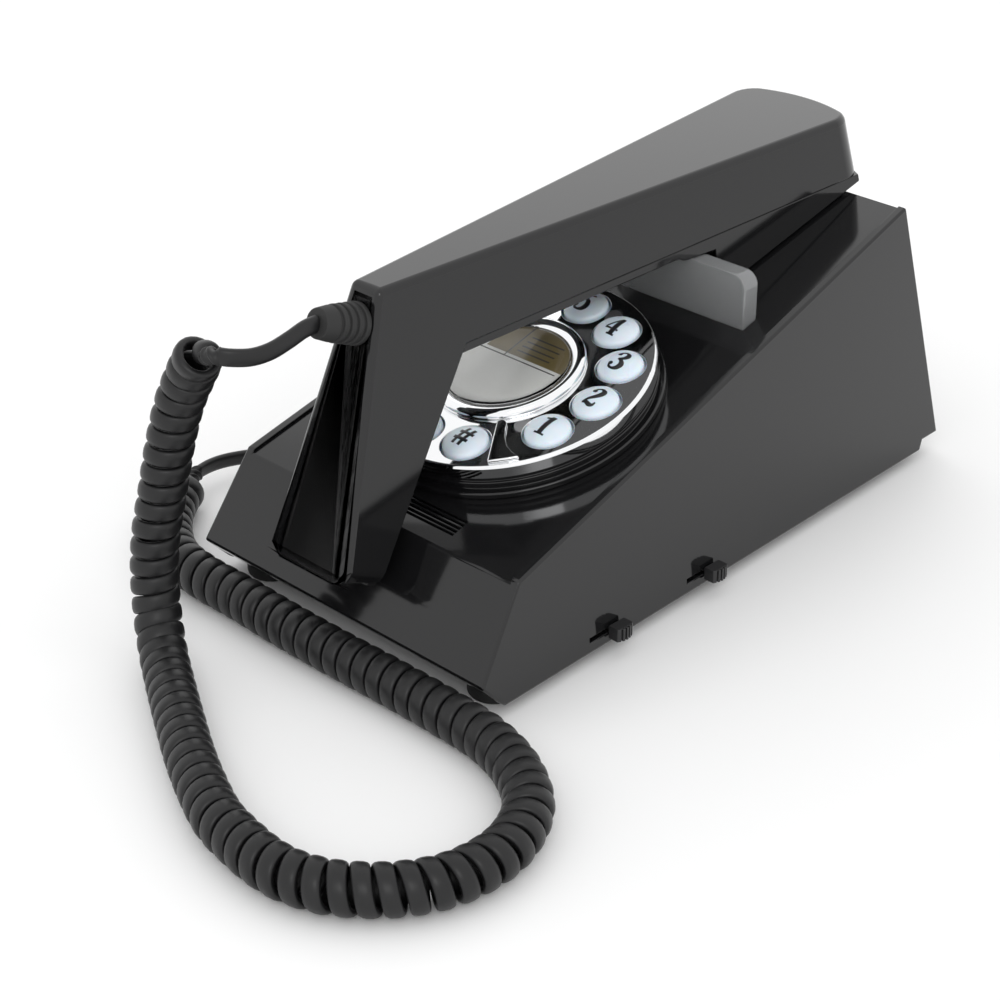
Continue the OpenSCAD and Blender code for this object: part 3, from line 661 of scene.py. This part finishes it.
def cap(i):
    """A stem, a flange and a cap turned in one profile, with the dome's edge rounded over."""
    r = np.linspace(0, cap_r - rim_width, 14)[::-1]
    dome = np.stack([r, dome_height(r)], 1)
    edge = dome_height(cap_r - rim_width)
    stem = [(0, 2), (stem_r, 2), (stem_r, flange_foot)]
    flange = [(flange_r, flange_foot), (flange_r, flange_top), (cap_r, flange_top)]
    rim = [(cap_r, edge - 1.6), (cap_r - 0.04, edge - 1.1), (cap_r - 0.2, edge - 0.66),
           (cap_r - 0.48, edge - 0.3)]
    profile = np.vstack([stem, flange, rim, dome])
    piece = turned("cap_" + button_names[i], profile * mm, button_place(i), 72)
    dress(piece, milky)
    body = "button_" + button_names[i]
    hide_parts(body)
    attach(piece, body + "_key")


# A numeral is a few strokes in a box 0.6 wide and 1 high. A stroke is a list of points
# (x, y, half its width there), and a ball is a short fat stroke.
hook = [(0.12, 0.76, 0.045), (0.18, 0.91, 0.04), (0.32, 0.97, 0.04), (0.46, 0.89, 0.07), (0.49, 0.74, 0.08)]
bowl = [(0.54, 0.3, 0.09), (0.47, 0.11, 0.075), (0.3, 0.03, 0.04), (0.14, 0.07, 0.04), (0.09, 0.2, 0.045)]


def loop(x, y, rx, ry, thick, thin):
    """A closed oval stroke, thick at its sides and thin at its top and foot."""
    a = np.linspace(0, 2 * math.pi, 25)
    return [(x + rx * math.cos(t), y + ry * math.sin(t), thin + (thick - thin) * math.cos(t) ** 2)
            for t in a]


def ball(x, y, r):
    """An upright stroke as long as it is wide, with narrow ends."""
    return [(x, y - r, 0.35 * r), (x, y - 0.7 * r, 0.75 * r), (x, y, r), (x, y + 0.7 * r, 0.75 * r),
            (x, y + r, 0.35 * r)]


six = [[(0.5, 0.88, 0.04), (0.36, 0.97, 0.04), (0.17, 0.84, 0.07), (0.09, 0.52, 0.09), (0.14, 0.18, 0.08),
        (0.3, 0.03, 0.045), (0.47, 0.14, 0.08), (0.52, 0.32, 0.09), (0.45, 0.5, 0.07), (0.3, 0.57, 0.04),
        (0.16, 0.46, 0.04)], ball(0.49, 0.81, 0.075)]
numerals = {
    "1": [[(0.34, 0.97, 0.07), (0.34, 0.9, 0.085), (0.34, 0.05, 0.085)],
          [(0.12, 0.03, 0.03), (0.56, 0.03, 0.03)],
          [(0.36, 0.95, 0.05), (0.22, 0.84, 0.045), (0.08, 0.82, 0.03)]],
    "2": [[(0.13, 0.72, 0.05), (0.17, 0.88, 0.04), (0.32, 0.97, 0.045), (0.48, 0.87, 0.08), (0.5, 0.7, 0.09),
           (0.4, 0.5, 0.075), (0.2, 0.28, 0.05), (0.08, 0.09, 0.03)],
          [(0.06, 0.07, 0.03), (0.2, 0.12, 0.06), (0.4, 0.06, 0.07), (0.53, 0.1, 0.045), (0.57, 0.24, 0.025)],
          ball(0.15, 0.74, 0.08)],
    "3": [hook + [(0.4, 0.6, 0.06), (0.25, 0.53, 0.03)], [(0.25, 0.53, 0.03), (0.43, 0.47, 0.06)] + bowl,
          ball(0.14, 0.78, 0.075), ball(0.12, 0.22, 0.08)],
    "4": [[(0.4, 0.96, 0.035), (0.22, 0.64, 0.035), (0.03, 0.32, 0.035)],
          [(0.02, 0.29, 0.035), (0.6, 0.29, 0.035)],
          [(0.41, 0.97, 0.06), (0.41, 0.8, 0.08), (0.41, 0.05, 0.085)],
          [(0.24, 0.03, 0.03), (0.58, 0.03, 0.03)]],
    "5": [[(0.13, 0.95, 0.03), (0.28, 0.92, 0.06), (0.52, 0.96, 0.03)],
          [(0.14, 0.95, 0.03), (0.12, 0.53, 0.03)],
          [(0.12, 0.53, 0.025), (0.28, 0.61, 0.045), (0.46, 0.53, 0.075)] + bowl, ball(0.12, 0.22, 0.08)],
    "6": six,
    "7": [[(0.06, 0.78, 0.025), (0.1, 0.92, 0.05), (0.3, 0.89, 0.065), (0.55, 0.95, 0.03)],
          [(0.54, 0.93, 0.03), (0.38, 0.62, 0.045), (0.28, 0.32, 0.075), (0.25, 0.05, 0.09)]],
    "8": [loop(0.3, 0.75, 0.16, 0.2, 0.08, 0.035), loop(0.3, 0.28, 0.2, 0.25, 0.09, 0.035)],
    "9": [[(0.6 - x, 1 - y, w) for x, y, w in stroke] for stroke in six],
    "0": [loop(0.3, 0.5, 0.2, 0.45, 0.09, 0.035)],
    "star": [[(0.3 - 0.27 * math.cos(a), 0.5 - 0.27 * math.sin(a), 0.06), (0.3, 0.5, 0.03),
              (0.3 + 0.27 * math.cos(a), 0.5 + 0.27 * math.sin(a), 0.06)]
             for a in (math.pi / 2, math.pi / 6, -math.pi / 6)],
    "hash": [[(0.12, 0.04, 0.055), (0.22, 0.96, 0.055)], [(0.4, 0.04, 0.055), (0.5, 0.96, 0.055)],
             [(-0.02, 0.33, 0.055), (0.62, 0.33, 0.055)], [(0, 0.67, 0.055), (0.64, 0.67, 0.055)]],
}
numeral_height = 7.2
stroke_swell = 1.25
stroke_columns = 5
ink_lift = 0.02
stroke_lift = 0.004


def numeral(i):
    """Each stroke is smoothed, widened to both sides by its half width, and laid on the cap's
    dome: height = dome height there + ink_lift + stroke_lift * the stroke's number, so that
    crossing strokes don't share a surface."""
    points, faces = [], []
    count = 0
    for k, stroke in enumerate(numerals[button_names[i]]):
        middle, _ = smooth_route(stroke, 0.02)
        along = unit(np.gradient(middle[:, :2], axis=0))
        across = np.stack([-along[:, 1], along[:, 0]], 1)
        spread = np.linspace(-1, 1, stroke_columns)[None, :, None]
        flat = middle[:, None, :2] + stroke_swell * spread * across[:, None] * middle[:, None, 2:]
        flat = (flat - (0.3, 0.5)) * numeral_height
        lift = dome_height(np.linalg.norm(flat, axis=-1)) + ink_lift + stroke_lift * k
        layer = np.concatenate([flat, lift[..., None]], -1).reshape(-1, 3)
        points.append(layer)
        faces.append(np.array(grid_faces(len(middle), stroke_columns, wrap=False)) + count)
        count += len(layer)
    upward = np.vstack(faces)[:, ::-1].tolist()
    piece = new_piece("numeral_" + button_names[i], np.vstack(points) * mm, upward)
    piece.data.transform(button_place(i))
    ink = piece.modifiers.new("ink", "SOLIDIFY")
    ink.thickness = 0.03 * mm
    ink.offset = 1
    dress(piece, ink_black)
    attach(piece, "button_" + button_names[i] + "_key")


for i in range(len(button_names)):
    cap(i)
    numeral(i)


# ---------------------------------------------------------------------------------------------
# Cradle bar. One clear acrylic moulding with a light frost, which slides in a guide under the
# deck and rises as the handset's earpiece end is lifted off it.
frosted = finish_material("frosted_acrylic", (0.88, 0.9, 0.91), (0.93, 0.94, 0.95), 0.07, 0.05, drift=80,
                          grain=500, bump=0.02, Transmission_Weight=0.84, IOR=1.49)
bar = moulding("cradle_bar", "clear_bar", 0.6 * mm, "cradle", angle=30)
dress(bar, frosted)


# ---------------------------------------------------------------------------------------------
# Switch tabs. Two small ribbed lugs of fine-textured black plastic stand out of the right wall,
# low down, each on the stem of a slide switch inside.
for node, name, body in (("volume_tab", "volume_slider_tab", "volume_slider"),
                         ("mode_tab", "mode_slider_tab", "mode_slider")):
    tab = moulding(node, name, 0.12 * mm, body, segments=2)
    dress(tab, matt_black)


# ---------------------------------------------------------------------------------------------
# Handset. A long cover of polished black plastic, a flat panel let into the front of its leg,
# and a back moulding with the strip, the leg's inside face and the earpiece box.
seam_edge = 0.3 * mm
leg_edge = 1.6 * mm
arm_edge = 1.7 * mm
leg_low = (-107.4 * mm, 28.8 * mm)
leg_inner = (-97.2 * mm, 25.2 * mm)


def cover_edge(middle, normals):
    """Round along the arm and the leg, and fine where the cover meets the back moulding, whose
    faces look down."""
    if any(normal.z < -0.5 for normal in normals):
        return seam_edge
    on_leg = middle.z < 96 * mm and middle.y < -84 * mm
    return leg_edge if on_leg else arm_edge


def round_corner(work, first, second, radius, slices=6):
    """Rounds the corner between two faces of outward normals first and second: slices tangent
    to a cylinder of the given radius cut the corner off. Its axis lies a radius inside both
    faces, at corner - radius * (first + second) / (1 + first . second)."""
    corner = max((v.co for v in work.verts), key=lambda co: co.dot(first + second)).copy()
    axis = corner - radius * (first + second) / (1 + first.dot(second))
    for k in range(slices):
        facing = first.lerp(second, (k + 0.5) / slices).normalized()
        whole = work.verts[:] + work.edges[:] + work.faces[:]
        cut = bmesh.ops.bisect_plane(work, geom=whole, plane_co=axis + radius * facing,
                                     plane_no=facing, clear_outer=True)
        open_edges = [part for part in cut["geom_cut"] if isinstance(part, bmesh.types.BMEdge)]
        bmesh.ops.holes_fill(work, edges=open_edges)


def hand_side(hand):
    """Outward normal of the handset's right side (1) or left side (-1)."""
    return Vector((hand, -0.0895, 0.1673)).normalized()


def leg_corners(work, radius):
    """Rounds the two corners at the foot of the leg, whose end face runs from leg_low to
    leg_inner, each given as (y, z)."""
    foot = Vector((0, leg_inner[1] - leg_low[1], leg_low[0] - leg_inner[0])).normalized()
    for hand in (-1, 1):
        round_corner(work, hand_side(hand), foot, radius)


def cover_corners(work):
    """Rounds the arm's two rear corners in plan and the leg's two lower corners."""
    bow_angle, bow_lean = math.radians(25), math.radians(14)
    for hand in (-1, 1):
        rear = Vector((hand * math.sin(bow_angle), math.cos(bow_angle) * math.cos(bow_lean),
                       math.cos(bow_angle) * math.sin(bow_lean)))
        round_corner(work, hand_side(hand), rear, 9 * mm)
    leg_corners(work, 4.5 * mm)


hand_cover = moulding("handset_cover", "handset_shell", cover_edge, "handset", segments=5, share=0.9,
                      shaped=cover_corners)
dress(hand_cover, gloss_black)


satin_black = finish_material("satin_black", (0.006, 0.006, 0.0065), (0.009, 0.009, 0.0095), 0.3, 0.05,
                              drift=14, grain=260, bump=0.015, Specular_IOR_Level=0.55)
panel = moulding("leg_cover", "leg_panel", 0.5 * mm, "handset",
                 shaped=lambda work: leg_corners(work, 2.1 * mm))
dress(panel, satin_black)
hand_back = moulding("handset_back", "handset_underside", 0.35 * mm, "handset")
dress(hand_back, gloss_black)


# ---------------------------------------------------------------------------------------------
# Boot and gland. Rubber sleeves where the cord leaves the handset and enters the body's left
# wall: a tapered one with four ribs, and a short one with a groove that the wall sits in.
boot_tilt = math.radians(72)
boot_place = Matrix.Translation((0, -87.05 * mm, 91.5 * mm)) @ Matrix.Rotation(boot_tilt, 4, "X")
boot_length = 14
rib_pitch = boot_length / 6
rib_r = 5.6
groove_r = 4.7
taper = 0.22
first_rib = 0.3
boot_ribs = [point for i in range(4) for point in (
    (rib_r - taper * i, first_rib + rib_pitch * i),
    (rib_r - taper * i, first_rib + rib_pitch * (i + 0.62)),
    (groove_r - taper * i, first_rib + rib_pitch * (i + 0.7)),
    (groove_r - taper * i, first_rib + rib_pitch * (i + 1)))]
boot_plug = [(0, -4.6), (4, -4.6), (4, -3.1), (3.3, -3.1), (3.3, first_rib)]
boot_tail = [(groove_r, first_rib + 4.1 * rib_pitch), (3.9, boot_length), (0, boot_length)]
boot_profile = boot_plug + boot_ribs + boot_tail
boot = turned("cord_sleeve", fillet(boot_profile, 0.3, 3) * mm, boot_place, 96)
dress(boot, rubber_black)
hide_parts("cord_boot")
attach(boot, "handset")
gland_place = Matrix.Translation((-59 * mm, 12 * mm, 12.2 * mm)) @ Matrix.Rotation(math.pi / 2, 4, "Y")
gland_profile = [(0, 0), (3.2, 0), (3.9, 6.6), (5.4, 6.6), (5.4, 7.6), (4, 7.6), (4, 11.6),
                 (5.2, 11.6), (5.2, 13), (0, 13)]
gland = turned("wall_gland", fillet(gland_profile, 0.3, 3) * mm, gland_place, 72)
dress(gland, rubber_black)
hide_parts("cord_gland")
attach(gland, "base")
